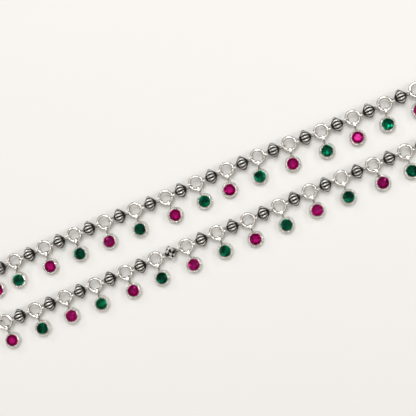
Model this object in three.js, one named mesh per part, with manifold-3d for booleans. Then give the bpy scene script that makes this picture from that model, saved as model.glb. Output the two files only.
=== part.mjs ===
// Payal anklet: a closed silver chain of jump rings and ribbed beads, with a stone drop on every ring.
// Millimetres, +Z up. It lies flat, its two long runs follow X, and the drops point to -Y.
import * as THREE from 'three';
import { mergeVertices } from 'three/addons/utils/BufferGeometryUtils.js';
import Module from 'manifold-3d';

const wasm = await Module();
wasm.setup();

// Chain: ring centre to ring centre, rings in each long run, and the runs' distance from each other
const PITCH = 8.35;
const RINGS_PER_RUN = 15;
const RUN_GAP = 12.94;

// Jump rings
const RING_WIRE = 0.68;
const RING_INNER = 2.7;
const RING_TILT = THREE.MathUtils.degToRad(12);

// Bead links
const BEAD_DIAMETER = 3.9;
const COLLAR_DIAMETER = 1.2;
const EYE_WIRE = 0.5;
const EYE_PLAY = 0.12;

// Drops: a bezel cup that widens to its flat foot, the stone in it, and the bail that holds the ring
const FOOT_DIAMETER = 4.15;
const RIM_DIAMETER = 3.95;
const BEZEL_HEIGHT = 1.7;
const STONE_DIAMETER = 3;
const STONE_SEAT = 0.1;
const TABLE_DIAMETER = 1.65;
const TABLE_RISE = 0.25;
const BAIL_WIDTH = 0.7;
const BAIL_WALL = 0.36;
const BAIL_PLAY = 0.2;
const NECK_LENGTH = 0.3;
const NECK_HEIGHT = 0.8;

// Clasp hook
const HOOK_WIRE = 0.7;
const HOOK_PLAY = 0.2;

// Depth to which two soldered pieces run into each other
const SOLDER = 0.16;

// Sides of round forms
const RING_SIDES = 10;
const EYE_SIDES = 8;
const BEAD_SIDES = 10;
const BEZEL_SIDES = 10;
const BAIL_SIDES = 6;
const WIRE_SIDES = 5;

// How each drop lies, from the -X end of its run: its lean to +X in degrees, and how far its ring
// stands off the line of the run, to +Y, in millimetres
const FRONT_DROPS = [
  { lean: -3, shift: 0.1 },
  { lean: -2, shift: -0.1 },
  { lean: -4, shift: -0.1 },
  { lean: -5, shift: -0.2 },
  { lean: 0, shift: -0.3 },
  { lean: -5, shift: -0.2 },
  { lean: -1, shift: -0.2 },
  { lean: 1, shift: -0.1 },
  { lean: -2, shift: -0.3 },
  { lean: -1, shift: -0.1 },
  { lean: -1, shift: 0.3 },
  { lean: -2, shift: 0.3 },
  { lean: 6, shift: 0.2 },
  { lean: -3, shift: 0.1 },
  { lean: -2, shift: 0 },
];
const BACK_DROPS = [
  { lean: 14, shift: 0.2 },
  { lean: -13, shift: 0.4 },
  { lean: -6, shift: 0.5 },
  { lean: -7, shift: 0.5 },
  { lean: -9, shift: 0.4 },
  { lean: -9, shift: 0.2 },
  { lean: 5, shift: 0 },
  { lean: 2, shift: 0.3 },
  { lean: -15, shift: 0.3 },
  { lean: -17, shift: 0.3 },
  { lean: -13, shift: 0.1 },
  { lean: -6, shift: -0.2 },
  { lean: -9, shift: -0.2 },
  { lean: -14, shift: -0.2 },
  { lean: -14, shift: -0.1 },
];

// Derived sizes
const RING_RADIUS = (RING_INNER + RING_WIRE) / 2;
const EYE_RADIUS = RING_WIRE / 2 + EYE_PLAY + EYE_WIRE / 2;
const LOOSE_EYE = RING_RADIUS;
const TAUT_EYE = RING_RADIUS - RING_WIRE / 2 - EYE_WIRE / 2 + SOLDER + EYE_RADIUS;
const AXIS_HEIGHT = BEAD_DIAMETER / 2;
const BAIL_HOLE = RING_WIRE / 2 + BAIL_PLAY;
const BAIL_RADIUS = BAIL_HOLE + BAIL_WALL;
const DROP_REACH = RING_RADIUS + BAIL_RADIUS + NECK_LENGTH + FOOT_DIAMETER / 2;
const TURN_DEPTH = Math.sqrt(PITCH ** 2 - (RUN_GAP / 2) ** 2);
const HALF_RUN = (RINGS_PER_RUN - 1) / 2;

// Materials
const silver = new THREE.MeshStandardMaterial({ color: 0xe9e7e2, metalness: 1, roughness: 0.2 });
const oxidised = new THREE.MeshStandardMaterial({ color: 0x8c8a86, metalness: 1, roughness: 0.35 });
const ruby = new THREE.MeshStandardMaterial({ color: 0xb00a63, metalness: 0, roughness: 0.05 });
const emerald = new THREE.MeshStandardMaterial({ color: 0x04644a, metalness: 0, roughness: 0.05 });

// A closed geometry as a solid that can be joined and cut
function solidOf(geometry) {
  const bare = geometry.clone();
  bare.deleteAttribute('normal');
  bare.deleteAttribute('uv');
  const merged = mergeVertices(bare, 1e-5);
  const corners = merged.index.array;
  const triangles = [];
  for (let i = 0; i < corners.length; i += 3) {
    const [a, b, c] = corners.slice(i, i + 3);
    if (a !== b && b !== c && c !== a) triangles.push(a, b, c);
  }
  return new wasm.Manifold(new wasm.Mesh({
    numProp: 3,
    vertProperties: new Float32Array(merged.attributes.position.array),
    triVerts: new Uint32Array(triangles),
  }));
}

function geometryOf(solid) {
  const mesh = solid.getMesh();
  const geometry = new THREE.BufferGeometry();
  geometry.setAttribute('position', new THREE.BufferAttribute(new Float32Array(mesh.vertProperties), 3));
  geometry.setIndex(new THREE.BufferAttribute(new Uint32Array(mesh.triVerts), 1));
  geometry.computeVertexNormals();
  return geometry;
}

function fuse(geometries) {
  return geometryOf(geometries.map(solidOf).reduce((whole, piece) => whole.add(piece)));
}

// A closed body of revolution round Y from [radius, height] points, given from the foot up
function turned(profile, sides) {
  const points = profile.map(([radius, height]) => new THREE.Vector2(radius, height));
  return new THREE.LatheGeometry(points, sides);
}

// A wire loop in the XZ plane, round the origin
function wireLoop(radius, wire, sides) {
  return new THREE.TorusGeometry(radius, wire / 2, WIRE_SIDES, sides)
    .rotateZ(Math.PI / sides)
    .rotateX(Math.PI / 2);
}

// A straight round rod along X
function rod(diameter, from, to) {
  const length = to - from;
  return new THREE.CylinderGeometry(diameter / 2, diameter / 2, length, WIRE_SIDES)
    .rotateZ(Math.PI / 2)
    .translate((from + to) / 2, 0, 0);
}

// The ribbed bead, a double cone round X with a collar at each end
function bead(nearEnd, farEnd) {
  const collar = COLLAR_DIAMETER / 2;
  const belly = BEAD_DIAMETER / 2;
  return turned([
    [0, nearEnd],
    [collar, nearEnd],
    [belly, (nearEnd + farEnd) / 2],
    [collar, farEnd],
    [0, farEnd],
  ], BEAD_SIDES).rotateZ(-Math.PI / 2);
}

// A bead with an eye at each end, along X, midway between two ring centres that are span apart;
// nearEye and farEye are the eyes' distances from those centres
function beadLink(span, nearEye, farEye) {
  const near = nearEye - span / 2;
  const far = span / 2 - farEye;
  return fuse([
    bead(near + EYE_RADIUS + EYE_WIRE / 2 - SOLDER, far - EYE_RADIUS - EYE_WIRE / 2 + SOLDER),
    wireLoop(EYE_RADIUS, EYE_WIRE, EYE_SIDES).translate(near, 0, 0),
    wireLoop(EYE_RADIUS, EYE_WIRE, EYE_SIDES).translate(far, 0, 0),
  ]);
}

// A jump ring round the origin; its drop's side, -Y, hangs lower by the tilt
function jumpRing(tilt) {
  return new THREE.TorusGeometry(RING_RADIUS, RING_WIRE / 2, WIRE_SIDES, RING_SIDES).rotateX(tilt);
}

// The bezel cup with its stone, round Z, standing on its flat foot
function settingWithStone() {
  const seat = BEZEL_HEIGHT - STONE_SEAT;
  return turned([
    [0, 0],
    [FOOT_DIAMETER / 2, 0],
    [RIM_DIAMETER / 2, BEZEL_HEIGHT],
    [STONE_DIAMETER / 2, seat],
    [TABLE_DIAMETER / 2, BEZEL_HEIGHT + TABLE_RISE],
    [0, BEZEL_HEIGHT + TABLE_RISE],
  ], BEZEL_SIDES).rotateX(Math.PI / 2);
}

// The bail, a flat loop that stands in the YZ plane round the ring's wire, with a neck to the bezel
function bail(wireHeight) {
  const mouth = Math.asin(NECK_HEIGHT / 2 / BAIL_RADIUS);
  const outline = new THREE.Shape();
  outline.absarc(0, 0, BAIL_RADIUS, -Math.PI + mouth, Math.PI - mouth);
  outline.lineTo(-BAIL_RADIUS - NECK_LENGTH - FOOT_DIAMETER / 4, NECK_HEIGHT / 2);
  outline.lineTo(-BAIL_RADIUS - NECK_LENGTH - FOOT_DIAMETER / 4, -NECK_HEIGHT / 2);
  outline.closePath();
  const hole = new THREE.Path();
  hole.absarc(0, 0, BAIL_HOLE / Math.cos(Math.PI / BAIL_SIDES), 0, 2 * Math.PI);
  outline.holes.push(hole);
  const ribbon = { depth: BAIL_WIDTH, curveSegments: BAIL_SIDES / 2, bevelEnabled: false };
  return new THREE.ExtrudeGeometry(outline, ribbon)
    .translate(0, 0, -BAIL_WIDTH / 2)
    .rotateX(Math.PI / 2)
    .rotateZ(Math.PI / 2)
    .translate(0, -RING_RADIUS, wireHeight);
}

// One drop below its ring's centre, which is at x = 0, y = 0
function dropGeometry(tilt) {
  const wireHeight = AXIS_HEIGHT - RING_RADIUS * Math.sin(tilt);
  return fuse([
    settingWithStone().translate(0, -DROP_REACH, 0),
    bail(wireHeight),
  ]);
}

// The clasp: an eye, a rod and an open hook, along X from one ring's centre to the next one's
function claspGeometry(span) {
  const hookRadius = RING_WIRE / 2 + HOOK_PLAY + HOOK_WIRE / 2;
  const hookCentre = span - RING_RADIUS;
  const section = new THREE.Shape();
  section.absarc(0, 0, HOOK_WIRE / 2, 0, 2 * Math.PI);
  const steps = 8;
  const turn = [];
  for (let i = 0; i <= steps; i++) {
    const angle = Math.PI - 1.5 * Math.PI * i / steps;
    turn.push(new THREE.Vector3(hookRadius * Math.cos(angle), 0, hookRadius * Math.sin(angle)));
  }
  const path = new THREE.CatmullRomCurve3(turn);
  const hook = new THREE.ExtrudeGeometry(section, { extrudePath: path, steps, curveSegments: 3 });
  return fuse([
    wireLoop(EYE_RADIUS, EYE_WIRE, EYE_SIDES).translate(LOOSE_EYE, 0, 0),
    rod(HOOK_WIRE, LOOSE_EYE + EYE_RADIUS, hookCentre - hookRadius),
    hook.translate(hookCentre, 0, 0),
  ]);
}

// The rings in order round the loop: the front run, the +X end, the back run, the -X end. hang is the
// direction in which the ring's drop points, as a turn from -Y.
function route() {
  const spots = [];
  const endOfRun = Math.ceil(HALF_RUN);
  const place = (step, side, table) => {
    const { lean, shift } = table[(step + endOfRun) % table.length];
    const level = Math.abs(step) === HALF_RUN;
    spots.push({
      at: new THREE.Vector3(step * PITCH, side * RUN_GAP / 2 + shift, AXIS_HEIGHT),
      hang: THREE.MathUtils.degToRad(lean),
      tilt: level ? 0 : RING_TILT,
    });
  };
  const endSpot = (side) => spots.push({
    at: new THREE.Vector3(side * (HALF_RUN * PITCH + TURN_DEPTH), 0, AXIS_HEIGHT),
    hang: side * Math.PI / 2,
    tilt: 0,
  });
  for (let step = -HALF_RUN; step <= HALF_RUN; step++) place(step, -1, FRONT_DROPS);
  endSpot(1);
  for (let step = HALF_RUN; step >= -HALF_RUN; step--) place(step, 1, BACK_DROPS);
  endSpot(-1);
  return spots;
}

// Puts a piece made along X between two ring centres in its place between spots a and b
function between(a, b, geometryAlongX, offset = 0) {
  const along = new THREE.Vector3().subVectors(b.at, a.at);
  const turn = new THREE.Matrix4().makeRotationZ(Math.atan2(along.y, along.x));
  const start = new THREE.Vector3().lerpVectors(a.at, b.at, offset);
  return geometryAlongX.applyMatrix4(turn).translate(start.x, start.y, start.z);
}

function linkBetween(a, b, farEye) {
  return between(a, b, beadLink(a.at.distanceTo(b.at), TAUT_EYE, farEye), 0.5);
}

function ringAt(spot) {
  return jumpRing(spot.tilt).rotateZ(spot.hang).translate(spot.at.x, spot.at.y, spot.at.z);
}

const spots = route();
const half = RINGS_PER_RUN + 1;
const anklet = new THREE.Group();

function addMesh(name, geometry, material) {
  const mesh = new THREE.Mesh(geometry, material);
  mesh.name = name;
  anklet.add(mesh);
  return mesh;
}

// A stretch of soldered rings and links; with a last spot, one more link ends in an eye loose on it
function chain(name, stretch, next) {
  const pieces = stretch.map(ringAt);
  for (let i = 0; i + 1 < stretch.length; i++) pieces.push(linkBetween(stretch[i], stretch[i + 1], TAUT_EYE));
  if (next) pieces.push(linkBetween(stretch[stretch.length - 1], next, LOOSE_EYE));
  addMesh(name, fuse(pieces), oxidised);
}

chain('front_chain', spots.slice(0, half), spots[half]);
chain('back_chain', spots.slice(half));

const lastSpot = spots[spots.length - 1];
addMesh('clasp_hook', between(lastSpot, spots[0], claspGeometry(lastSpot.at.distanceTo(spots[0].at))), silver);

spots.forEach((spot, i) => {
  const [stone, material] = i % 2 ? ['emerald', emerald] : ['ruby', ruby];
  const number = String(i + 1).padStart(2, '0');
  const drop = addMesh(`${stone}_drop_${number}`, dropGeometry(spot.tilt), material);
  drop.rotation.z = spot.hang;
  drop.position.set(spot.at.x, spot.at.y, 0);
});

// The origin is the middle of the outline, on the surface that the anklet lies on
const extent = new THREE.Box3().setFromObject(anklet, true);
const middle = extent.getCenter(new THREE.Vector3());
anklet.position.set(-middle.x, -middle.y, -extent.min.z);
anklet.updateMatrixWorld(true);

export default anklet;
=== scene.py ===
import math
from random import Random

import bmesh
import bpy
import numpy as np
from bpy.props import FloatProperty, FloatVectorProperty, IntProperty, PointerProperty
from bpy.types import Operator, Panel, PropertyGroup
from mathutils import Matrix, Vector


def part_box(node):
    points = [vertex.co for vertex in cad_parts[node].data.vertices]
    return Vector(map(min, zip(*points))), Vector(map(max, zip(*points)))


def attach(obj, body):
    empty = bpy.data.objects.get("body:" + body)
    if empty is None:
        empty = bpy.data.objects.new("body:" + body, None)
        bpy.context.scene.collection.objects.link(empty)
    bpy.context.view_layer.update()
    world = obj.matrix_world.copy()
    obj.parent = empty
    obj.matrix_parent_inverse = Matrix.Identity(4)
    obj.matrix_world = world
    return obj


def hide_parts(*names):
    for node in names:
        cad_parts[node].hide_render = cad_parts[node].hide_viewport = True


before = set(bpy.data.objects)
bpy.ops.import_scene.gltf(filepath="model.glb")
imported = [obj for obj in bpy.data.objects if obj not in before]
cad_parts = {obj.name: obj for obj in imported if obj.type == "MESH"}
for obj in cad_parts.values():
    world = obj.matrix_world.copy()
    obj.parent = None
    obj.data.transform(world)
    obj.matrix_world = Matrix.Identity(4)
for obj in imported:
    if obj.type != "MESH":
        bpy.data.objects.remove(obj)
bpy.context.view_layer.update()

bl_info = {
    "name": "Payal anklet",
    "version": (1, 0, 0),
    "blender": (4, 5, 0),
    "location": "3D View > Sidebar > Anklet",
    "description": "Dresses the solids of a silver chain anklet with ribbed beads and stone drops",
    "category": "Object",
}

BODY = "root"
MM = 0.001

# How each drop lies, from the -X end of its run: its lean to +X in degrees, and how far its ring
# stands off the line of the run, to +Y, in millimetres
FRONT_DROPS = [
    (-3, 0.1), (-2, -0.1), (-4, -0.1), (-5, -0.2), (0, -0.3), (-5, -0.2), (-1, -0.2), (1, -0.1),
    (-2, -0.3), (-1, -0.1), (-1, 0.3), (-2, 0.3), (6, 0.2), (-3, 0.1), (-2, 0),
]
BACK_DROPS = [
    (14, 0.2), (-13, 0.4), (-6, 0.5), (-7, 0.5), (-9, 0.4), (-9, 0.2), (5, 0), (2, 0.3),
    (-15, 0.3), (-17, 0.3), (-13, 0.1), (-6, -0.2), (-9, -0.2), (-14, -0.2), (-14, -0.1),
]

# Painted light and shade inside the stones: how bright a stone's facets may be, as shares of its
# tint, and how much of that the facets round its table, darkened as painted shade, and the rest
# keep
FACET_PAINTED_LIGHT = {"ruby": (0.45, 0.7, 0.9, 1.1, 1.45), "emerald": (0.05, 0.2, 0.6, 1.5, 3.2)}
CROWN_PAINTED_SHADE = 0.55
REST_PAINTED_LIGHT = 1.05

# How far a stone may lean in its cup, to either side, in radians
STONE_LEAN = 0.07

# Between which angles round a ring its cut may lie, in radians
CUT_ANGLES = (0.5, 2.6)

# How far a bead may be turned about its axis, in degrees
BEAD_TURNS = (-8, 0)

# How the hook's wire thins over its last points, as shares of its radius
HOOK_TIP = (0.97, 0.9, 0.78, 0.6, 0.35)

# Which link of the front run carries the carved bead
CARVED_LINK = 5


def length(name, description, millimetres):
    """A size in metres that shows in the panel with its unit."""
    return FloatProperty(
        name=name, description=description, default=millimetres * MM, precision=5, unit="LENGTH"
    )


def colour(name, description, value):
    """A linear colour that shows in the panel as a swatch."""
    return FloatVectorProperty(
        name=name, description=description, default=value, subtype="COLOR", min=0, max=1
    )


class AnkletSizes(PropertyGroup):
    """Sizes of the chain, its beads and its drops."""

    pitch: length("Pitch", "Ring centre to ring centre along the chain", 8.35)
    run_gap: length("Run gap", "Distance between the centre lines of the two long runs", 12.94)
    rings_per_run: IntProperty(
        name="Rings per run", description="Rings in each long run", default=15, min=3
    )
    ring_wire: length("Ring wire", "Diameter of the jump rings' wire", 0.68)
    ring_inner: length("Ring inner diameter", "Inner diameter of a jump ring", 2.7)
    ring_inset: length("Ring inset", "How far the round ring lies inside the faceted one", 0.04)
    ring_cut: length("Ring cut", "Half the fine gap where a ring's wire ends meet", 0.02)
    ring_tilt: FloatProperty(
        name="Ring tilt", description="How far a ring dips on its drop's side",
        default=math.radians(12), subtype="ANGLE",
    )
    eye_wire: length("Eye wire", "Diameter of the wire of the beads' eyes", 0.5)
    eye_radius: length("Eye radius", "Radius of an eye to the middle of its wire", 0.71)
    eye_roll: FloatProperty(
        name="Eye roll", description="How far an eye is rolled about its bead's axis",
        default=math.radians(27), subtype="ANGLE",
    )
    eye_cut: FloatProperty(
        name="Eye cut", description="Half the angle of the fine gap where an eye's wire ends meet",
        default=0.03, subtype="ANGLE",
    )
    taut_eye: length("Taut eye", "Ring centre to the centre of an eye that pulls on it", 1.97)
    loose_eye: length("Loose eye", "Ring centre to the centre of an eye that hangs on it", 1.69)
    bead_diameter: length("Bead diameter", "Widest diameter of a bead", 3.9)
    collar_diameter: length("Collar diameter", "Diameter of a bead at its ends", 1.2)
    solder: length("Solder", "How deep an eye sinks into its bead's collar", 0.16)
    rib_depth: length("Rib depth", "Depth of the grooves between a bead's ribs", 0.34)
    ribs: IntProperty(name="Ribs", description="Ribs round a bead", default=13)
    foot_diameter: length("Foot diameter", "Diameter of a bezel at its flat back", 4.15)
    grain_circle: length("Grain circle", "Radius of the ring of grains on a bezel's rim", 1.765)
    grain_radius: length("Grain radius", "Radius of one grain", 0.22)
    grain_height: length("Grain height", "Height of the grains over the bezel's back", 1.555)
    grains: IntProperty(name="Grains", description="Grains round a bezel's rim", default=24)
    stone_diameter: length("Stone diameter", "Diameter of a stone at its girdle", 2.98)
    table_diameter: length("Table diameter", "Diameter of a stone's table", 1.65)
    crown_height: length("Crown height", "Girdle to table of a stone", 0.42)
    girdle_thickness: length("Girdle thickness", "Thickness of a stone at its girdle", 0.05)
    pavilion_depth: length("Pavilion depth", "Girdle to point of a stone", 1.18)
    stone_seat: length("Stone seat", "Height of a stone's girdle over the bezel's back", 1.5)
    bail_width: length("Bail width", "Width of the bail where it crosses the ring", 0.72)
    bail_radius: length("Bail radius", "Outer radius of the bail's loop", 0.9)
    bail_wall: length("Bail wall", "Thickness of the bail's loop", 0.34)
    neck_length: length("Neck length", "Bail loop to the bezel's foot", 0.3)
    hook_wire: length("Hook wire", "Diameter of the clasp hook's wire", 0.7)
    hook_play: length("Hook play", "Clearance of the ring in the hook", 0.2)


class AnkletColours(PropertyGroup):
    """Colours of the metal, the stones and the stage."""

    silver: colour("Silver", "Polished silver", (0.93, 0.915, 0.89))
    # The film and the oxide also paint shade through the tarnish layer: on the rings' flanks and
    # undersides, the beads' ribs away from the top, the undersides of eyes and grains, the bail,
    # and a bezel's flutes, groove and cup
    film_and_shade: colour("Film", "Thin grey film on worn silver", (0.34, 0.305, 0.26))
    oxide_and_shade: colour("Oxide", "Blackened silver in the grooves", (0.012, 0.011, 0.010))
    ruby: colour("Ruby", "The red stones", (0.5, 0.0, 0.15))
    ruby_sheen: colour("Ruby sheen", "Reflections in the red stones", (0.7, 0.08, 0.42))
    emerald: colour("Emerald", "The green stones", (0.0, 0.116, 0.051))
    emerald_sheen: colour("Emerald sheen", "Reflections in the green stones", (0.04, 0.18, 0.14))
    floor: colour("Floor", "The pale floor", (0.825, 0.825, 0.812))


class Spot:
    """A ring's place: its centre, the turn of its drop from -Y, and its dip."""

    def __init__(self, x, y, z, hang, tilt):
        self.at = Vector((x, y, z))
        self.hang = hang
        self.tilt = tilt

    def matrix(self):
        """Lays a piece made round 0, with its drop toward -Y, at the ring."""
        return Matrix.Translation(self.at) @ Matrix.Rotation(self.hang, 4, "Z")


def sizes():
    """The sizes in the panel."""
    return bpy.context.scene.anklet_sizes


def colours():
    """The colours in the panel."""
    return bpy.context.scene.anklet_colours


def ring_radius():
    """A jump ring's radius to the middle of its wire."""
    return (sizes().ring_inner + sizes().ring_wire) / 2


def drop_reach():
    """Ring centre to the middle of its drop's bezel."""
    return ring_radius() + sizes().bail_radius + sizes().neck_length + sizes().foot_diameter / 2


def loop_middle():
    """The middle of the loop in the frame, from the two drops at its ends."""
    ends = [corner for node in ("emerald_drop_16", "emerald_drop_32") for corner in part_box(node)]
    return sum((Vector(corner) for corner in ends), Vector()) / len(ends)


def route():
    """The rings' places in order: the front run, the +X end, the back run, the -X end."""
    s = sizes()
    half = (s.rings_per_run - 1) // 2
    middle = loop_middle()
    axis_height = s.bead_diameter / 2
    end_x = half * s.pitch + math.sqrt(s.pitch**2 - (s.run_gap / 2) ** 2)
    spots = []

    def place(step, side, table):
        lean, shift = table[step + half]
        tilt = 0 if abs(step) == half else s.ring_tilt
        x = middle.x + step * s.pitch
        y = middle.y + side * s.run_gap / 2 + shift * MM
        spots.append(Spot(x, y, axis_height, math.radians(lean), tilt))

    for step in range(-half, half + 1):
        place(step, -1, FRONT_DROPS)
    spots.append(Spot(middle.x + end_x, middle.y, axis_height, math.pi / 2, 0))
    for step in range(half, -half - 1, -1):
        place(step, 1, BACK_DROPS)
    spots.append(Spot(middle.x - end_x, middle.y, axis_height, -math.pi / 2, 0))
    return spots


class Shell:
    """The points, faces and layer of tarnish and painted shade of a mesh in the making."""

    def __init__(self):
        self.points = []
        self.tarnish_and_shade = []
        self.faces = []
        self.count = 0

    def add(self, points, faces, tarnish_and_shade, matrix=None):
        """Adds points with their faces and their tarnish and painted shade, moved by the matrix."""
        points = np.asarray(points, float).reshape(-1, 3)
        if matrix is not None:
            m = np.array(matrix)
            points = points @ m[:3, :3].T + m[:3, 3]
        self.points.append(points)
        self.tarnish_and_shade.append(np.broadcast_to(np.asarray(tarnish_and_shade, float).ravel(), len(points)))
        self.faces.extend(tuple(self.count + i for i in face) for face in faces)
        self.count += len(points)

    def add_shell(self, other, matrix):
        """Adds a copy of another shell, moved by the matrix."""
        self.add(np.concatenate(other.points), other.faces, np.concatenate(other.tarnish_and_shade), matrix)

    def add_grid(self, points, tarnish_and_shade, loop=False):
        """Rows of points, each row a closed ring. A loop's last row joins its first; else both ends
        are capped."""
        rows, columns = points.shape[:2]
        faces = []
        for r in range(rows if loop else rows - 1):
            low = r * columns
            high = (r + 1) % rows * columns
            for c in range(columns):
                d = (c + 1) % columns
                faces.append((low + c, low + d, high + d, high + c))
        if not loop:
            faces.append(tuple(reversed(range(columns))))
            faces.append(tuple(range((rows - 1) * columns, rows * columns)))
        self.add(points, faces, np.broadcast_to(tarnish_and_shade, points.shape[:2]))

    def to_object(self, name, material, smooth=True):
        """Makes the mesh an object of the scene, with its tarnish and painted shade as a point
        layer.
        """
        mesh = bpy.data.meshes.new(name)
        mesh.from_pydata(np.concatenate(self.points).tolist(), [], self.faces)
        layer = mesh.attributes.new("tarnish_and_shade", "FLOAT", "POINT")
        layer.data.foreach_set("value", np.concatenate(self.tarnish_and_shade).astype(np.float32))
        work = bmesh.new()
        work.from_mesh(mesh)
        bmesh.ops.recalc_face_normals(work, faces=work.faces)
        work.to_mesh(mesh)
        work.free()
        mesh.polygons.foreach_set("use_smooth", [smooth] * len(mesh.polygons))
        mesh.materials.append(material)
        piece = bpy.data.objects.new(name, mesh)
        bpy.context.scene.collection.objects.link(piece)
        if smooth:
            sharpen(mesh)
        return piece


def sharpen(mesh, angle=math.radians(50)):
    """Keeps the hard edges of a smooth mesh hard."""
    work = bmesh.new()
    work.from_mesh(mesh)
    for edge in work.edges:
        if len(edge.link_faces) == 2 and edge.calc_face_angle() > angle:
            edge.smooth = False
    work.to_mesh(mesh)
    work.free()


def seat(piece, slot, *nodes):
    """Puts a finished piece on the body, in place of its CAD nodes, which it hides; slot is not
    used.
    """
    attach(piece, BODY)
    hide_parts(*nodes)


def round_angles(count):
    """Even angles round a circle."""
    return np.arange(count) * math.tau / count


def ramp(values, start, stop):
    """Goes evenly from 0, where the values are at start, to 1, where they are at stop."""
    return np.clip((values - start) / (stop - start), 0, 1)


def round_section(radius, sides):
    """Points of a circle round 0."""
    angles = round_angles(sides)
    return np.stack([radius * np.cos(angles), radius * np.sin(angles)], 1)


def wire_along(path, normal, radius, sides=14):
    """Rings of points round a path that lies in the plane of the given normal."""
    path = np.asarray(path, float)
    normal = np.asarray(normal, float)
    ahead = np.gradient(path, axis=0)
    ahead /= np.linalg.norm(ahead, axis=1)[:, None]
    side = np.cross(ahead, normal)
    section = round_section(1, sides)
    radii = np.broadcast_to(radius, len(path))[:, None, None]
    spread = section[None, :, :1] * side[:, None] + section[None, :, 1:] * normal
    return path[:, None] + radii * spread


def circle_path(radius, start, stop, steps, plane="XY"):
    """Points of an arc round 0, in the XY or the XZ plane."""
    angles = np.linspace(start, stop, steps)
    flat = np.zeros((steps, 3))
    flat[:, 0] = radius * np.cos(angles)
    flat[:, 1 if plane == "XY" else 2] = radius * np.sin(angles)
    return flat


def jump_ring_shell(cut_angle):
    """A ring of round wire with a fine cut at the given angle, where its ends meet."""
    radius = ring_radius() - sizes().ring_inset
    wire = sizes().ring_wire / 2
    cut = sizes().ring_cut / radius
    path = circle_path(radius, cut_angle + cut, cut_angle + math.tau - cut, steps=72)
    tube = wire_along(path, (0, 0, 1), wire, sides=16)
    shell = Shell()
    shell.add_grid(tube, ring_tarnish_and_shade(tube, radius, wire))
    return shell


def ring_tarnish_and_shade(tube, radius, wire):
    """A ring's wire under an even thin film, with painted shade that darkens its flanks, the inner
    one most, and its underside.
    """
    outward = (np.linalg.norm(tube[..., :2], axis=-1) - radius) / wire
    low = -tube[..., 2] / wire
    flank = ramp(np.abs(outward), 0.55, 1)
    return np.clip(0.17 + 0.46 * flank - 0.06 * outward + 0.3 * low, 0, 0.6)


def eye_shell():
    """A round eye in the XZ plane, with its cut at the bead's side, +X."""
    s = sizes()
    path = circle_path(s.eye_radius, s.eye_cut, math.tau - s.eye_cut, steps=40, plane="XZ")
    tube = wire_along(path, (0, 1, 0), s.eye_wire / 2, sides=12)
    reach = (tube[..., 0] / s.eye_radius + 1) / 2
    near_bead = np.clip(0.18 + 0.5 * (reach - 0.75) / 0.25, 0.16, 0.6)
    low = np.clip(-tube[..., 2] / s.eye_radius, 0, 1)
    shell = Shell()
    # The eye darkens toward the bead, and painted shade darkens its underside.
    shell.add_grid(tube, near_bead + 0.3 * low)
    return shell


def bead_outline(share):
    """A bead's radius at a share of its half length, a double cone with a rounded middle."""
    s = sizes()
    collar = s.collar_diameter / 2
    belly = s.bead_diameter / 2
    return collar + (belly - collar) * np.clip(1 - share**2, 0, 1) ** 1.5


def bead_rows(half_length, rows):
    """Stations along a bead, close together at its middle."""
    share = np.linspace(-1, 1, rows)
    return half_length * share * (0.6 + 0.4 * np.abs(share))


def closed_bead(x, angles, radius, tarnish_and_shade):
    """A bead's rows of points from its radii, with flat ends."""
    points = np.stack([
        np.broadcast_to(x[:, None], radius.shape),
        radius * np.sin(angles),
        radius * np.cos(angles),
    ], -1)
    shell = Shell()
    shell.add_grid(points, tarnish_and_shade)
    return shell


def ribbed_bead_shell(half_length, turn):
    """Round ribs along the bead, with wide blackened grooves and ends, and painted shade that
    darkens the ribs away from the top, so that only the upper crests stay bright."""
    s = sizes()
    x = bead_rows(half_length, rows=27)
    angles = round_angles(s.ribs * 12)
    share = np.abs(x / half_length)[:, None]
    # 0 on the line of each crest, and 1 midway between two
    phase = np.abs(((angles + turn) * s.ribs / math.tau + 0.5) % 1 - 0.5)[None] * 2
    crest_width = 0.74
    crest = np.clip(1 - (phase / crest_width) ** 2, 0, 1) ** 0.42
    depth = s.rib_depth * (1 - share**3)
    radius = bead_outline(share) - depth * (1 - crest)
    groove = ramp(phase, 0.44, 0.58)
    end = ramp(share, 0.5, 0.74) ** 1.5
    # Painted shade: the ribs darken as they turn away from the top.
    side = 0.5 * ramp(np.cos(angles), 0.88, 0.28)[None]
    return closed_bead(x, angles, radius, np.clip(groove + end + side, 0, 1))


def carved_bead_shell(half_length):
    """Wavy crossing tendrils and leaf buds that stand up from a blackened ground."""
    s = sizes()
    x = bead_rows(half_length, rows=61)
    angles = round_angles(192)
    share = np.abs(x / half_length)[:, None]
    along = (x / half_length)[:, None]
    turn = angles[None]
    rising = np.abs(np.sin(3 * turn + 2.4 * along + 0.6 * np.sin(5 * along + 2 * turn)))
    falling = np.abs(np.sin(3 * turn - 2.8 * along + 0.6 * np.cos(6 * along) + 0.9))
    buds = np.cos(6 * turn + 1.2) * np.cos(6.4 * along)
    tendrils = np.clip(np.maximum(1.25 - rising / 0.42, 1.15 - falling / 0.36), 0, 1)
    crest = np.maximum(tendrils, ramp(buds, 0.2, 0.6)) ** 0.7
    depth = 1.1 * s.rib_depth * (1 - share**4)
    radius = bead_outline(share) - depth * (1 - crest)
    end = ramp(share, 0.66, 0.92)
    return closed_bead(x, angles, radius, np.clip(1.2 - 1.6 * crest + end, 0, 1))


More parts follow.
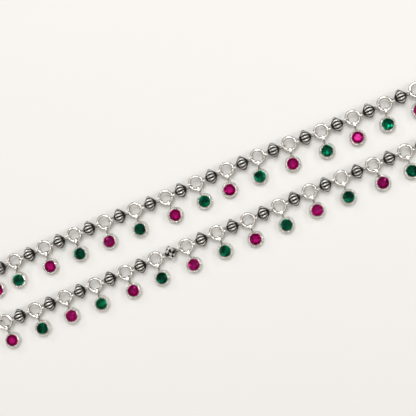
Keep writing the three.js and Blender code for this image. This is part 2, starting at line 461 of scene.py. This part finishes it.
def link_shell(span, far_eye, turn, carved=False):
    """A bead with its two rolled eyes, along X, between ring centres that are span apart. The bead
    is turned about its axis."""
    s = sizes()
    near = s.taut_eye - span / 2
    far = span / 2 - far_eye
    reach = s.eye_radius + s.eye_wire / 2 - s.solder
    half_length = (far - near) / 2 - reach
    middle = (near + far) / 2
    bead = carved_bead_shell(half_length) if carved else ribbed_bead_shell(half_length, turn)
    shell = Shell()
    shell.add_shell(bead, Matrix.Translation((middle, 0, 0)))
    roll = Matrix.Rotation(s.eye_roll, 4, "X")
    shell.add_shell(eye_shell(), Matrix.Translation((near, 0, 0)) @ roll)
    facing = Matrix.Rotation(math.pi, 4, "Z")
    shell.add_shell(eye_shell(), Matrix.Translation((far, 0, 0)) @ facing @ roll)
    return shell


def between(a, b):
    """The matrix that lays a piece made along X round 0 midway between two spots."""
    along = b.at - a.at
    turn = Matrix.Rotation(math.atan2(along.y, along.x), 4, "Z")
    return Matrix.Translation((a.at + b.at) / 2) @ turn


# Half the depth of a bezel's flutes, in millimetres
FLUTE_DEPTH = 0.045


def bezel_profile():
    """The bezel's outline from its foot up, over the rim and down inside: radius, height, flute
    share and tarnish with painted shade, lengths in millimetres."""
    foot = sizes().foot_diameter / 2 / MM
    lip = sizes().stone_diameter / 2 / MM - 0.04
    return np.array([
        (0.02, 0.00, 0, 0.2),
        (foot - 0.10, 0.00, 0, 0.2),
        (foot - 0.01, 0.06, 0, 0.1),
        (foot, 0.16, 0, 0.05),
        (foot - 0.02, 0.27, 0, 0.12),
        (foot - 0.02, 0.38, 1, 0.2),
        (foot - 0.03, 0.66, 1, 0.08),
        (foot - 0.05, 0.98, 1, 0.04),
        (foot - 0.07, 1.22, 1, 0.12),
        # Painted shade in the groove under the grains
        (foot - 0.11, 1.33, 0, 0.3),
        (foot - 0.09, 1.41, 0, 0.1),
        (foot - 0.12, 1.48, 0, 0.2),
        (foot - 0.22, 1.52, 0, 0.5),
        (foot - 0.46, 1.56, 0, 0.5),
        (lip + 0.06, 1.69, 0, 0.05),
        (lip + 0.02, 1.71, 0, 0.02),
        (lip, 1.68, 0, 0.1),
        # Painted shade: the cup's inside is darkest round the stone's girdle, which darkens the
        # stone's rim
        (lip, 1.50, 0, 0.9),
        (1.30, 0.90, 0, 0.75),
        (0.90, 0.40, 0, 0.2),
        (0.02, 0.25, 0, 0.0),
    ])


def grain_shell():
    """One small polished ball of the rim, darkened toward its bottom with painted shade."""
    s = sizes()
    sides = 10
    rows = []
    for latitude in np.linspace(-84, 84, 7):
        angle = math.radians(latitude)
        ring = round_section(s.grain_radius * math.cos(angle), sides)
        height = np.full((sides, 1), s.grain_radius * math.sin(angle))
        rows.append(np.concatenate([ring, height], 1))
    points = np.stack(rows)
    shell = Shell()
    shell.add_grid(points, np.clip(-0.12 - points[..., 2] / s.grain_radius * 0.4, -0.3, 0.4))
    return shell


def bezel_shell(turn):
    """A cup with a fluted wall and a ring of grains round its lip, standing on Z = 0."""
    s = sizes()
    profile = bezel_profile()
    angles = round_angles(s.grains * 4) + turn
    wave = np.cos(s.grains * (angles - turn))
    radius = profile[:, :1] + FLUTE_DEPTH * profile[:, 2:3] * (wave[None] - 1)
    height = np.broadcast_to(profile[:, 1:2], radius.shape)
    points = np.stack([radius * np.cos(angles), radius * np.sin(angles), height], -1) * MM
    # Painted shade in the flutes' hollows, added to the profile's tarnish
    flute = profile[:, 2:3] * np.clip(-wave[None], 0, 1)
    tarnish_and_shade = np.clip(profile[:, 3:4] + 0.24 * flute, 0, 1)
    shell = Shell()
    shell.add_grid(points, tarnish_and_shade)
    grain = grain_shell()
    grain_place = Matrix.Translation((s.grain_circle, 0, s.grain_height))
    for i in range(s.grains):
        round_rim = Matrix.Rotation(turn + i * math.tau / s.grains, 4, "Z")
        shell.add_shell(grain, round_rim @ grain_place)
    return shell


def flat_ring(width, height, sides=14, squareness=0.62):
    """A rounded rectangular section round 0, as points across and up."""
    angles = round_angles(sides)
    across = np.cos(angles)
    up = np.sin(angles)
    return np.stack([
        width / 2 * np.sign(across) * np.abs(across) ** squareness,
        height / 2 * np.sign(up) * np.abs(up) ** squareness,
    ], 1)


# The bail's neck from the ring's wire to the bezel: place along it, width and height, in
# millimetres
NECK_SECTIONS = ((0.60, 0.36, 0.52), (0.86, 0.44, 0.62), (1.10, 0.42, 0.56), (1.45, 0.5, 0.6))


def bail_shell():
    """A ribbon bent round the ring's wire at 0. It is flattened on top, narrows toward the bezel,
    at -Y, and ends in a short neck."""
    s = sizes()
    middle = s.bail_radius - s.bail_wall / 2
    flatness = 0.72
    taper = 0.36
    rows = []
    stain_and_shade = []
    for angle in round_angles(44):
        outward = np.array([0, math.cos(angle), math.sin(angle)])
        outward = np.copysign(np.abs(outward) ** flatness, outward)
        toward_bezel = (1 - math.cos(angle)) / 2
        width = s.bail_width * (1 - taper * toward_bezel**2.2)
        section = flat_ring(width, s.bail_wall)
        rows.append(outward * (middle + section[:, 1:]) + np.array([1, 0, 0]) * section[:, :1])
        # Painted shade: the loop's inside, against the ring's wire, and its last stretch toward the
        # bezel are darker
        inside = section[:, 1] < -0.2 * s.bail_wall
        stain_and_shade.append(np.where(inside, 0.55, 0.02 + 0.2 * max(0, toward_bezel - 0.75) / 0.25))
    shell = Shell()
    shell.add_grid(np.stack(rows), np.stack(stain_and_shade), loop=True)
    neck_rows = []
    for along, width, height in NECK_SECTIONS:
        section = flat_ring(width * MM, height * MM)
        neck_rows.append(np.insert(section, 1, -along * MM, axis=1))
    # Painted shade: the neck is darker
    shell.add_grid(np.stack(neck_rows), 0.5)
    return shell


def stone_shell():
    """A round brilliant: table, stars, kites, girdle and pavilion, round Z with its girdle at 0."""
    s = sizes()
    girdle = s.stone_diameter / 2
    table = s.table_diameter / 2
    crown = s.crown_height
    waist = s.girdle_thickness
    pavilion = s.pavilion_depth
    mid_radius = girdle * 0.80
    mid_along = mid_radius * math.cos(math.pi / 8)
    mid_height = crown * (girdle - mid_along) / (girdle - table)
    low_radius = girdle * 0.42
    low_height = -waist - (pavilion - waist) * (1 - low_radius * math.cos(math.pi / 8) / girdle)

    def ring(count, radius, height, offset):
        angles = [(i + offset) * math.tau / count for i in range(count)]
        return [(radius * math.cos(angle), radius * math.sin(angle), height) for angle in angles]

    top = ring(8, table, crown, 0)
    mid = ring(8, mid_radius, mid_height, 0.5)
    upper = ring(16, girdle, 0, 0)
    lower = ring(16, girdle, -waist, 0)
    deep = ring(8, low_radius, low_height, 0.5)
    points = top + mid + upper + lower + deep + [(0, 0, -pavilion)]
    # Where the points of each ring start: top, mid, upper, lower (w) and deep, and then the culet
    t, m, u, w, d, culet = 0, 8, 16, 32, 48, 56
    faces = [tuple(range(8))]
    for i in range(8):
        after = (i + 1) % 8
        before = (i - 1) % 8
        g = 2 * i
        faces.append((t + i, m + i, t + after))
        faces.append((t + i, m + before, u + g, m + i))
        faces.append((m + i, u + g, u + g + 1))
        faces.append((m + i, u + g + 1, u + (g + 2) % 16))
        faces.append((d + i, w + g + 1, w + g))
        faces.append((d + i, w + (g + 2) % 16, w + g + 1))
        faces.append((w + g, culet, d + i))
        faces.append((w + g, d + before, culet))
    for i in range(16):
        after = (i + 1) % 16
        faces.append((u + i, w + i, w + after, u + after))
    shell = Shell()
    shell.add(points, faces, 0)
    return shell


# How rough the tarnish is, and how metallic
TARNISH_ROUGHNESS = 0.52
TARNISH_METAL = 0.2


def nodes_of(material):
    """An empty node tree with its output, and short ways to add and join nodes."""
    material.use_nodes = True
    tree = material.node_tree
    tree.nodes.clear()

    def add(kind, **values):
        node = tree.nodes.new(kind)
        for key, value in values.items():
            if hasattr(node, key):
                setattr(node, key, value)
            else:
                node.inputs[key.replace("_", " ")].default_value = value
        return node

    return add, tree.links.new


def remap(add, low, high, to_low, to_high, **values):
    """A node that maps one range of values to another."""
    node = add("ShaderNodeMapRange", **values)
    names = ("From Min", "From Max", "To Min", "To Max")
    for socket, value in zip(names, (low, high, to_low, to_high)):
        node.inputs[socket].default_value = value
    return node


def silver_material(name, polish, stain_and_shade, cloud_scale):
    """Silver whose tarnish and painted shade follow the mesh's own layer of both, broken up by fine
    wear, made once. polish is its clean roughness, the share after it how much thin grey film,
    partly tarnish and partly painted shade, lies on it, and cloud_scale how fine its clouds are."""
    if name in bpy.data.materials:
        return bpy.data.materials[name]
    material = bpy.data.materials.new(name)
    add, join = nodes_of(material)
    c = colours()
    place = add("ShaderNodeTexCoord")
    layer = add("ShaderNodeAttribute", attribute_name="tarnish_and_shade")
    cloud = add("ShaderNodeTexNoise", Scale=cloud_scale, Detail=4, Roughness=0.6)
    grain = add("ShaderNodeTexNoise", Scale=5200, Detail=3, Roughness=0.7)
    stretch = add("ShaderNodeMapping")
    stretch.inputs["Scale"].default_value = (1400, 9000, 5200)
    stretch.inputs["Rotation"].default_value = (0.4, 0.3, 0.9)
    scratch = add("ShaderNodeTexNoise", Scale=1, Detail=2, Roughness=0.5)
    join(place.outputs["Object"], cloud.inputs["Vector"])
    join(place.outputs["Object"], grain.inputs["Vector"])
    join(place.outputs["Object"], stretch.inputs["Vector"])
    join(stretch.outputs["Vector"], scratch.inputs["Vector"])
    worn = remap(add, 0.3, 0.7, -0.12, 0.16)
    join(cloud.outputs["Fac"], worn.inputs["Value"])
    soiled_and_shaded = add("ShaderNodeMath", operation="ADD", use_clamp=True)
    join(layer.outputs["Fac"], soiled_and_shaded.inputs[0])
    join(worn.outputs["Result"], soiled_and_shaded.inputs[1])
    # High values of the layer turn black: oxide in the grooves, and painted shade in hollows and on
    # undersides
    oxide_and_shade_mask = remap(add, 0.32, 0.86, 0, 1, interpolation_type="SMOOTHSTEP")
    join(soiled_and_shaded.outputs[0], oxide_and_shade_mask.inputs["Value"])
    film_and_shade = add("ShaderNodeMix", data_type="RGBA")
    film_and_shade.inputs["A"].default_value = (*c.silver, 1)
    film_and_shade.inputs["B"].default_value = (*c.film_and_shade, 1)
    film_share = remap(add, 0.05, 0.4, 0, stain_and_shade)
    join(soiled_and_shaded.outputs[0], film_share.inputs["Value"])
    join(film_share.outputs["Result"], film_and_shade.inputs["Factor"])
    paint = add("ShaderNodeMix", data_type="RGBA")
    paint.inputs["B"].default_value = (*c.oxide_and_shade, 1)
    join(oxide_and_shade_mask.outputs["Result"], paint.inputs["Factor"])
    join(film_and_shade.outputs["Result"], paint.inputs["A"])
    rough_low = remap(add, 0.35, 0.75, polish, polish + 0.14)
    join(scratch.outputs["Fac"], rough_low.inputs["Value"])
    rough = add("ShaderNodeMix", data_type="FLOAT")
    rough.inputs["B"].default_value = TARNISH_ROUGHNESS
    join(oxide_and_shade_mask.outputs["Result"], rough.inputs["Factor"])
    join(rough_low.outputs["Result"], rough.inputs["A"])
    bump = add("ShaderNodeBump", Strength=0.16, Distance=0.03 * MM)
    join(grain.outputs["Fac"], bump.inputs["Height"])
    hair = add("ShaderNodeBump", Strength=0.12, Distance=0.02 * MM)
    join(scratch.outputs["Fac"], hair.inputs["Height"])
    join(bump.outputs["Normal"], hair.inputs["Normal"])
    metal = add("ShaderNodeMix", data_type="FLOAT")
    metal.inputs["A"].default_value = 1.0
    metal.inputs["B"].default_value = TARNISH_METAL
    join(oxide_and_shade_mask.outputs["Result"], metal.inputs["Factor"])
    surface = add("ShaderNodeBsdfPrincipled", Specular_IOR_Level=0.2)
    join(paint.outputs["Result"], surface.inputs["Base Color"])
    join(metal.outputs["Result"], surface.inputs["Metallic"])
    join(rough.outputs["Result"], surface.inputs["Roughness"])
    join(hair.outputs["Normal"], surface.inputs["Normal"])
    output = add("ShaderNodeOutputMaterial")
    join(surface.outputs["BSDF"], output.inputs["Surface"])
    return material


# How strongly the stones bend light
STONE_IOR = 1.77


def stone_material(name, tint, sheen, clearness):
    """Slightly worn coloured stone of the given clearness. Each facet has its own painted
    brightness, from the mesh's facet layer, that stands in for the light and shade inside the
    stone."""
    material = bpy.data.materials.new(name)
    add, join = nodes_of(material)
    place = add("ShaderNodeTexCoord")
    layer = add("ShaderNodeAttribute", attribute_name="facet")
    cloud = add("ShaderNodeTexNoise", Scale=1100, Detail=3, Roughness=0.55)
    join(place.outputs["Object"], cloud.inputs["Vector"])
    drift = remap(add, 0.35, 0.68, 1.15, 0.7)
    join(cloud.outputs["Fac"], drift.inputs["Value"])
    painted_brightness = add("ShaderNodeMath", operation="MULTIPLY")
    join(layer.outputs["Fac"], painted_brightness.inputs[0])
    join(drift.outputs["Result"], painted_brightness.inputs[1])
    paint = add("ShaderNodeVectorMath", operation="SCALE")
    paint.inputs[0].default_value = tint
    join(painted_brightness.outputs[0], paint.inputs["Scale"])
    wear = add("ShaderNodeTexNoise", Scale=6000, Detail=2, Roughness=0.6)
    join(place.outputs["Object"], wear.inputs["Vector"])
    rough = remap(add, 0.45, 0.8, 0.01, 0.08)
    join(wear.outputs["Fac"], rough.inputs["Value"])
    surface = add("ShaderNodeBsdfPrincipled")
    surface.inputs["IOR"].default_value = STONE_IOR
    surface.inputs["Transmission Weight"].default_value = clearness
    surface.inputs["Specular Tint"].default_value = (*sheen, 1)
    join(paint.outputs["Vector"], surface.inputs["Base Color"])
    join(rough.outputs["Result"], surface.inputs["Roughness"])
    output = add("ShaderNodeOutputMaterial")
    join(surface.outputs["BSDF"], output.inputs["Surface"])
    return material


def paint_facet_light(piece, light_levels, chance):
    """Paints each facet's light with one of the given levels, darker on the slanting facets round
    the table.
    """
    layer = piece.data.attributes.new("facet", "FLOAT", "FACE")
    values = []
    for facet in piece.data.polygons:
        crown = 0 < facet.normal.z < 0.97
        values.append(chance.choice(light_levels) * (CROWN_PAINTED_SHADE if crown else REST_PAINTED_LIGHT))
    layer.data.foreach_set("value", values)


def floor_material():
    """Plain warm off-white board with a trace of unevenness."""
    material = bpy.data.materials.new("pale_floor")
    add, join = nodes_of(material)
    place = add("ShaderNodeTexCoord")
    cloud = add("ShaderNodeTexNoise", Scale=9, Detail=3)
    join(place.outputs["Object"], cloud.inputs["Vector"])
    paint = add("ShaderNodeMix", data_type="RGBA")
    base = colours().floor
    paint.inputs["A"].default_value = (*base, 1)
    paint.inputs["B"].default_value = (*(0.985 * channel for channel in base), 1)
    join(cloud.outputs["Fac"], paint.inputs["Factor"])
    surface = add("ShaderNodeBsdfPrincipled", Roughness=0.75)
    join(paint.outputs["Result"], surface.inputs["Base Color"])
    output = add("ShaderNodeOutputMaterial")
    join(surface.outputs["BSDF"], output.inputs["Surface"])
    return material


def polished_silver():
    """The silver of the rings, the settings and the hook."""
    return silver_material("polished_silver", polish=0.14, stain_and_shade=0.9, cloud_scale=900)


def blackened_silver():
    """The silver of the beads and their eyes."""
    return silver_material("blackened_silver", polish=0.26, stain_and_shade=0.4, cloud_scale=1200)


def halves():
    """Each chain node with its spots, and the spot that its last link also reaches, if any."""
    spots = route()
    half = sizes().rings_per_run + 1
    return (("front_chain", spots[:half], spots[half]), ("back_chain", spots[half:], None))


class ANKLET_OT_jump_rings(Operator):
    """Makes the jump rings of both halves of the chain"""

    bl_idname = "anklet.jump_rings"
    bl_label = "Jump rings"

    def execute(self, context):
        chance = Random(11)
        for node, spots, _ in halves():
            shell = Shell()
            for spot in spots:
                ring = jump_ring_shell(chance.uniform(*CUT_ANGLES))
                shell.add_shell(ring, spot.matrix() @ Matrix.Rotation(spot.tilt, 4, "X"))
            piece = shell.to_object(node.replace("chain", "jump_rings"), polished_silver())
            seat(piece, "bright_silver", node)
        return {"FINISHED"}


class ANKLET_OT_bead_links(Operator):
    """Makes the beads with their eyes, and the one carved bead"""

    bl_idname = "anklet.bead_links"
    bl_label = "Bead links"

    def execute(self, context):
        s = sizes()
        chance = Random(5)
        for node, spots, reached in halves():
            shell = Shell()
            links = [(a, b, s.taut_eye) for a, b in zip(spots, spots[1:])]
            if reached:
                links.append((spots[-1], reached, s.loose_eye))
            for i, (a, b, far_eye) in enumerate(links):
                span = (b.at - a.at).length
                carved = node == "front_chain" and i == CARVED_LINK
                turn = math.radians(chance.uniform(*BEAD_TURNS))
                if b.at.x <= a.at.x:
                    turn = -turn
                link = link_shell(span, far_eye, turn, carved)
                if carved:
                    alone = Shell()
                    alone.add_shell(link, between(a, b))
                    piece = alone.to_object("carved_bead_link", blackened_silver())
                    seat(piece, "oxidised_silver", node)
                else:
                    shell.add_shell(link, between(a, b))
            piece = shell.to_object(node.replace("chain", "bead_links"), blackened_silver())
            seat(piece, "oxidised_silver", node)
        return {"FINISHED"}


class ANKLET_OT_drops(Operator):
    """Makes each drop's setting, with its bezel and bail, and its faceted stone"""

    bl_idname = "anklet.drops"
    bl_label = "Drops"

    def execute(self, context):
        c = colours()
        stones = {
            "ruby": stone_material("ruby_stone", c.ruby, c.ruby_sheen, clearness=0.72),
            "emerald": stone_material("emerald_stone", c.emerald, c.emerald_sheen, clearness=1),
        }
        chance = Random(7)
        bail = bail_shell()
        for i, spot in enumerate(route()):
            stone = ("ruby", "emerald")[i % 2]
            node = f"{stone}_drop_{i + 1:02d}"
            wire_height = -ring_radius() * math.sin(spot.tilt)
            bezel_place = Matrix.Translation((0, -drop_reach(), -spot.at.z))
            setting = Shell()
            setting.add_shell(bezel_shell(chance.uniform(0, 1)), bezel_place)
            setting.add_shell(bail, Matrix.Translation((0, -ring_radius(), wire_height)))
            placed = Shell()
            placed.add_shell(setting, spot.matrix())
            seat(placed.to_object(f"{node}_setting", polished_silver()), "bright_silver", node)
            lean = Matrix.Rotation(chance.uniform(-STONE_LEAN, STONE_LEAN), 4, "X")
            roll = Matrix.Rotation(chance.uniform(-STONE_LEAN, STONE_LEAN), 4, "Y")
            turn = Matrix.Rotation(chance.uniform(0, math.tau), 4, "Z")
            stone_place = bezel_place @ Matrix.Translation((0, 0, sizes().stone_seat))
            gem = Shell()
            gem.add_shell(stone_shell(), spot.matrix() @ stone_place @ lean @ roll @ turn)
            piece = gem.to_object(f"{node}_stone", stones[stone], smooth=False)
            paint_facet_light(piece, FACET_PAINTED_LIGHT[stone], chance)
            seat(piece, f"{stone}_glass", node)
        return {"FINISHED"}


class ANKLET_OT_clasp_hook(Operator):
    """Makes the plain hook that closes the loop"""

    bl_idname = "anklet.clasp_hook"
    bl_label = "Clasp hook"

    def execute(self, context):
        s = sizes()
        spots = route()
        start, end = spots[-1], spots[0]
        span = (end.at - start.at).length
        hook = s.ring_wire / 2 + s.hook_play + s.hook_wire / 2
        centre = span - ring_radius()
        sink = 0.1 * MM
        shoulder = 0.25 * MM
        shell = Shell()
        shell.add_shell(eye_shell(), Matrix.Translation((s.loose_eye, 0, 0)))
        rod_start = s.loose_eye + s.eye_radius - sink
        straight = np.linspace((rod_start, 0, 0), (centre - hook - shoulder, 0, 0), 8)
        bend = circle_path(hook, math.pi, -math.pi / 2, steps=40, plane="XZ")
        path = np.concatenate([straight, bend[1:] + np.array([centre, 0, 0])])
        radii = np.full(len(path), s.hook_wire / 2)
        radii[-len(HOOK_TIP):] *= HOOK_TIP
        shell.add_grid(wire_along(path, (0, 1, 0), radii, sides=16), 0.08)
        along = end.at - start.at
        turn = Matrix.Rotation(math.atan2(along.y, along.x), 4, "Z")
        placed = Shell()
        placed.add_shell(shell, Matrix.Translation(start.at) @ turn)
        seat(placed.to_object("clasp_hook_wire", polished_silver()), "bright_silver", "clasp_hook")
        return {"FINISHED"}


# The lights: name, then how far each stands to the picture's right, to its top and over the floor,
# and its size, in metres, its watts and its tint
LIGHTS = (
    ("key_light", -0.02, 0.25, 0.60, 0.26, 1.5, (0.98, 0.99, 1.0)),
    ("fill_light", 0.40, 0.10, 0.42, 0.16, 0.45, (1, 1, 1)),
    ("low_light", -0.36, -0.22, 0.36, 0.14, 0.3, (1, 1, 1)),
    ("left_spark", -0.36, 0.28, 0.30, 0.055, 0.3, (1, 1, 1)),
    ("right_spark", 0.34, 0.30, 0.30, 0.055, 0.3, (1, 1, 1)),
    ("top_spark", 0.03, 0.12, 0.62, 0.032, 0.2, (1, 1, 1)),
)

# How bright the room is from the horizon, at 0, to overhead, at 1
ROOM_STOPS = ((0.0, 0.03), (0.3, 0.10), (0.6, 0.26), (0.86, 0.5), (0.95, 0.85), (1.0, 0.95))
ROOM_STRENGTH = 1.21


def add_light(name, energy, size, place, target, tint):
    """A square soft light that looks at a point."""
    data = bpy.data.lights.new(name, "AREA")
    data.energy = energy
    data.size = size
    data.color = tint
    light = bpy.data.objects.new(name, data)
    light.location = place
    light.rotation_euler = (Vector(target) - Vector(place)).to_track_quat("-Z", "Y").to_euler()
    bpy.context.scene.collection.objects.link(light)


def studio_world():
    """A soft room, bright overhead and a dim warm grey at the horizon."""
    world = bpy.data.worlds.new("soft_room")
    bpy.context.scene.world = world
    world.use_nodes = True
    tree = world.node_tree
    tree.nodes.clear()
    place = tree.nodes.new("ShaderNodeTexCoord")
    split = tree.nodes.new("ShaderNodeSeparateXYZ")
    ramp = tree.nodes.new("ShaderNodeValToRGB")
    stops = ramp.color_ramp.elements
    for position, level in ROOM_STOPS:
        stop = stops[0] if position == 0 else stops[-1] if position == 1 else stops.new(position)
        stop.position = position
        warmth = 0.3 * (1 - level)
        stop.color = (level, (1 - 0.5 * warmth) * level, (0.985 - warmth) * level, 1)
    glow = tree.nodes.new("ShaderNodeBackground")
    glow.inputs["Strength"].default_value = ROOM_STRENGTH
    output = tree.nodes.new("ShaderNodeOutputWorld")
    tree.links.new(place.outputs["Generated"], split.inputs["Vector"])
    tree.links.new(split.outputs["Z"], ramp.inputs["Fac"])
    tree.links.new(ramp.outputs["Color"], glow.inputs["Color"])
    tree.links.new(glow.outputs["Background"], output.inputs["Surface"])


# How far the floor lies under the anklet, so that faces don't meet
FLOOR_GAP = 0.02 * MM

# The camera over the anklet: the runs rise by this turn in the picture, and it stands a little to
# the picture's right of the middle
PICTURE_TURN = math.radians(23.05)
PICTURE_MIDDLE = (0.17 * MM, 0.01 * MM)
CAMERA_HEIGHT = 280 * MM
CAMERA_OFFSET = 32.8 * MM
FIELD_OF_VIEW = math.radians(20.86)


def picture_axes():
    """The picture's right and up, as directions in the frame."""
    right = Vector((math.cos(PICTURE_TURN), -math.sin(PICTURE_TURN), 0))
    up = Vector((math.sin(PICTURE_TURN), math.cos(PICTURE_TURN), 0))
    return right, up


class ANKLET_OT_stage(Operator):
    """Sets up the floor, the soft lights and the camera"""

    bl_idname = "anklet.stage"
    bl_label = "Stage"

    def execute(self, context):
        scene = context.scene
        scene.view_settings.view_transform = "Standard"
        middle = loop_middle()
        target = Vector((middle.x + PICTURE_MIDDLE[0], middle.y + PICTURE_MIDDLE[1], 0))
        right, up = picture_axes()
        work = bmesh.new()
        bmesh.ops.create_grid(work, x_segments=1, y_segments=1, size=1.5)
        mesh = bpy.data.meshes.new("floor")
        work.to_mesh(mesh)
        work.free()
        mesh.materials.append(floor_material())
        floor = bpy.data.objects.new("floor", mesh)
        floor.location.z = -FLOOR_GAP
        scene.collection.objects.link(floor)
        studio_world()
        for name, across, along, height, size, energy, tint in LIGHTS:
            place = target + across * right + along * up + Vector((0, 0, height))
            add_light(name, energy, size, place, target, tint)
        camera_data = bpy.data.cameras.new("camera")
        camera_data.sensor_fit = "HORIZONTAL"
        camera_data.angle = FIELD_OF_VIEW
        camera = bpy.data.objects.new("camera", camera_data)
        camera.location = target + CAMERA_OFFSET * right + Vector((0, 0, CAMERA_HEIGHT))
        back = (camera.location - target).normalized()
        side = up.cross(back).normalized()
        facing = Matrix((side, back.cross(side), back)).transposed()
        camera.rotation_euler = facing.to_euler()
        scene.collection.objects.link(camera)
        scene.camera = camera
        return {"FINISHED"}


OPERATORS = (
    ANKLET_OT_stage,
    ANKLET_OT_jump_rings,
    ANKLET_OT_bead_links,
    ANKLET_OT_drops,
    ANKLET_OT_clasp_hook,
)


class VIEW3D_PT_anklet(Panel):
    """Lists the anklet's pieces, sizes and colours"""

    bl_label = "Anklet"
    bl_idname = "VIEW3D_PT_anklet"
    bl_space_type = "VIEW_3D"
    bl_region_type = "UI"
    bl_category = "Anklet"

    def draw(self, context):
        for operator in OPERATORS:
            self.layout.operator(operator.bl_idname)
        for group in (sizes(), colours()):
            for name in group.__annotations__:
                self.layout.prop(group, name)


CLASSES = (AnkletSizes, AnkletColours, *OPERATORS, VIEW3D_PT_anklet)


def register():
    for item in CLASSES:
        bpy.utils.register_class(item)
    bpy.types.Scene.anklet_sizes = PointerProperty(type=AnkletSizes)
    bpy.types.Scene.anklet_colours = PointerProperty(type=AnkletColours)


def unregister():
    del bpy.types.Scene.anklet_colours
    del bpy.types.Scene.anklet_sizes
    for item in reversed(CLASSES):
        bpy.utils.unregister_class(item)


def main():
    register()
    bpy.ops.anklet.stage()
    bpy.ops.anklet.jump_rings()
    bpy.ops.anklet.bead_links()
    bpy.ops.anklet.drops()
    bpy.ops.anklet.clasp_hook()


if __name__ == "__main__":
    main()
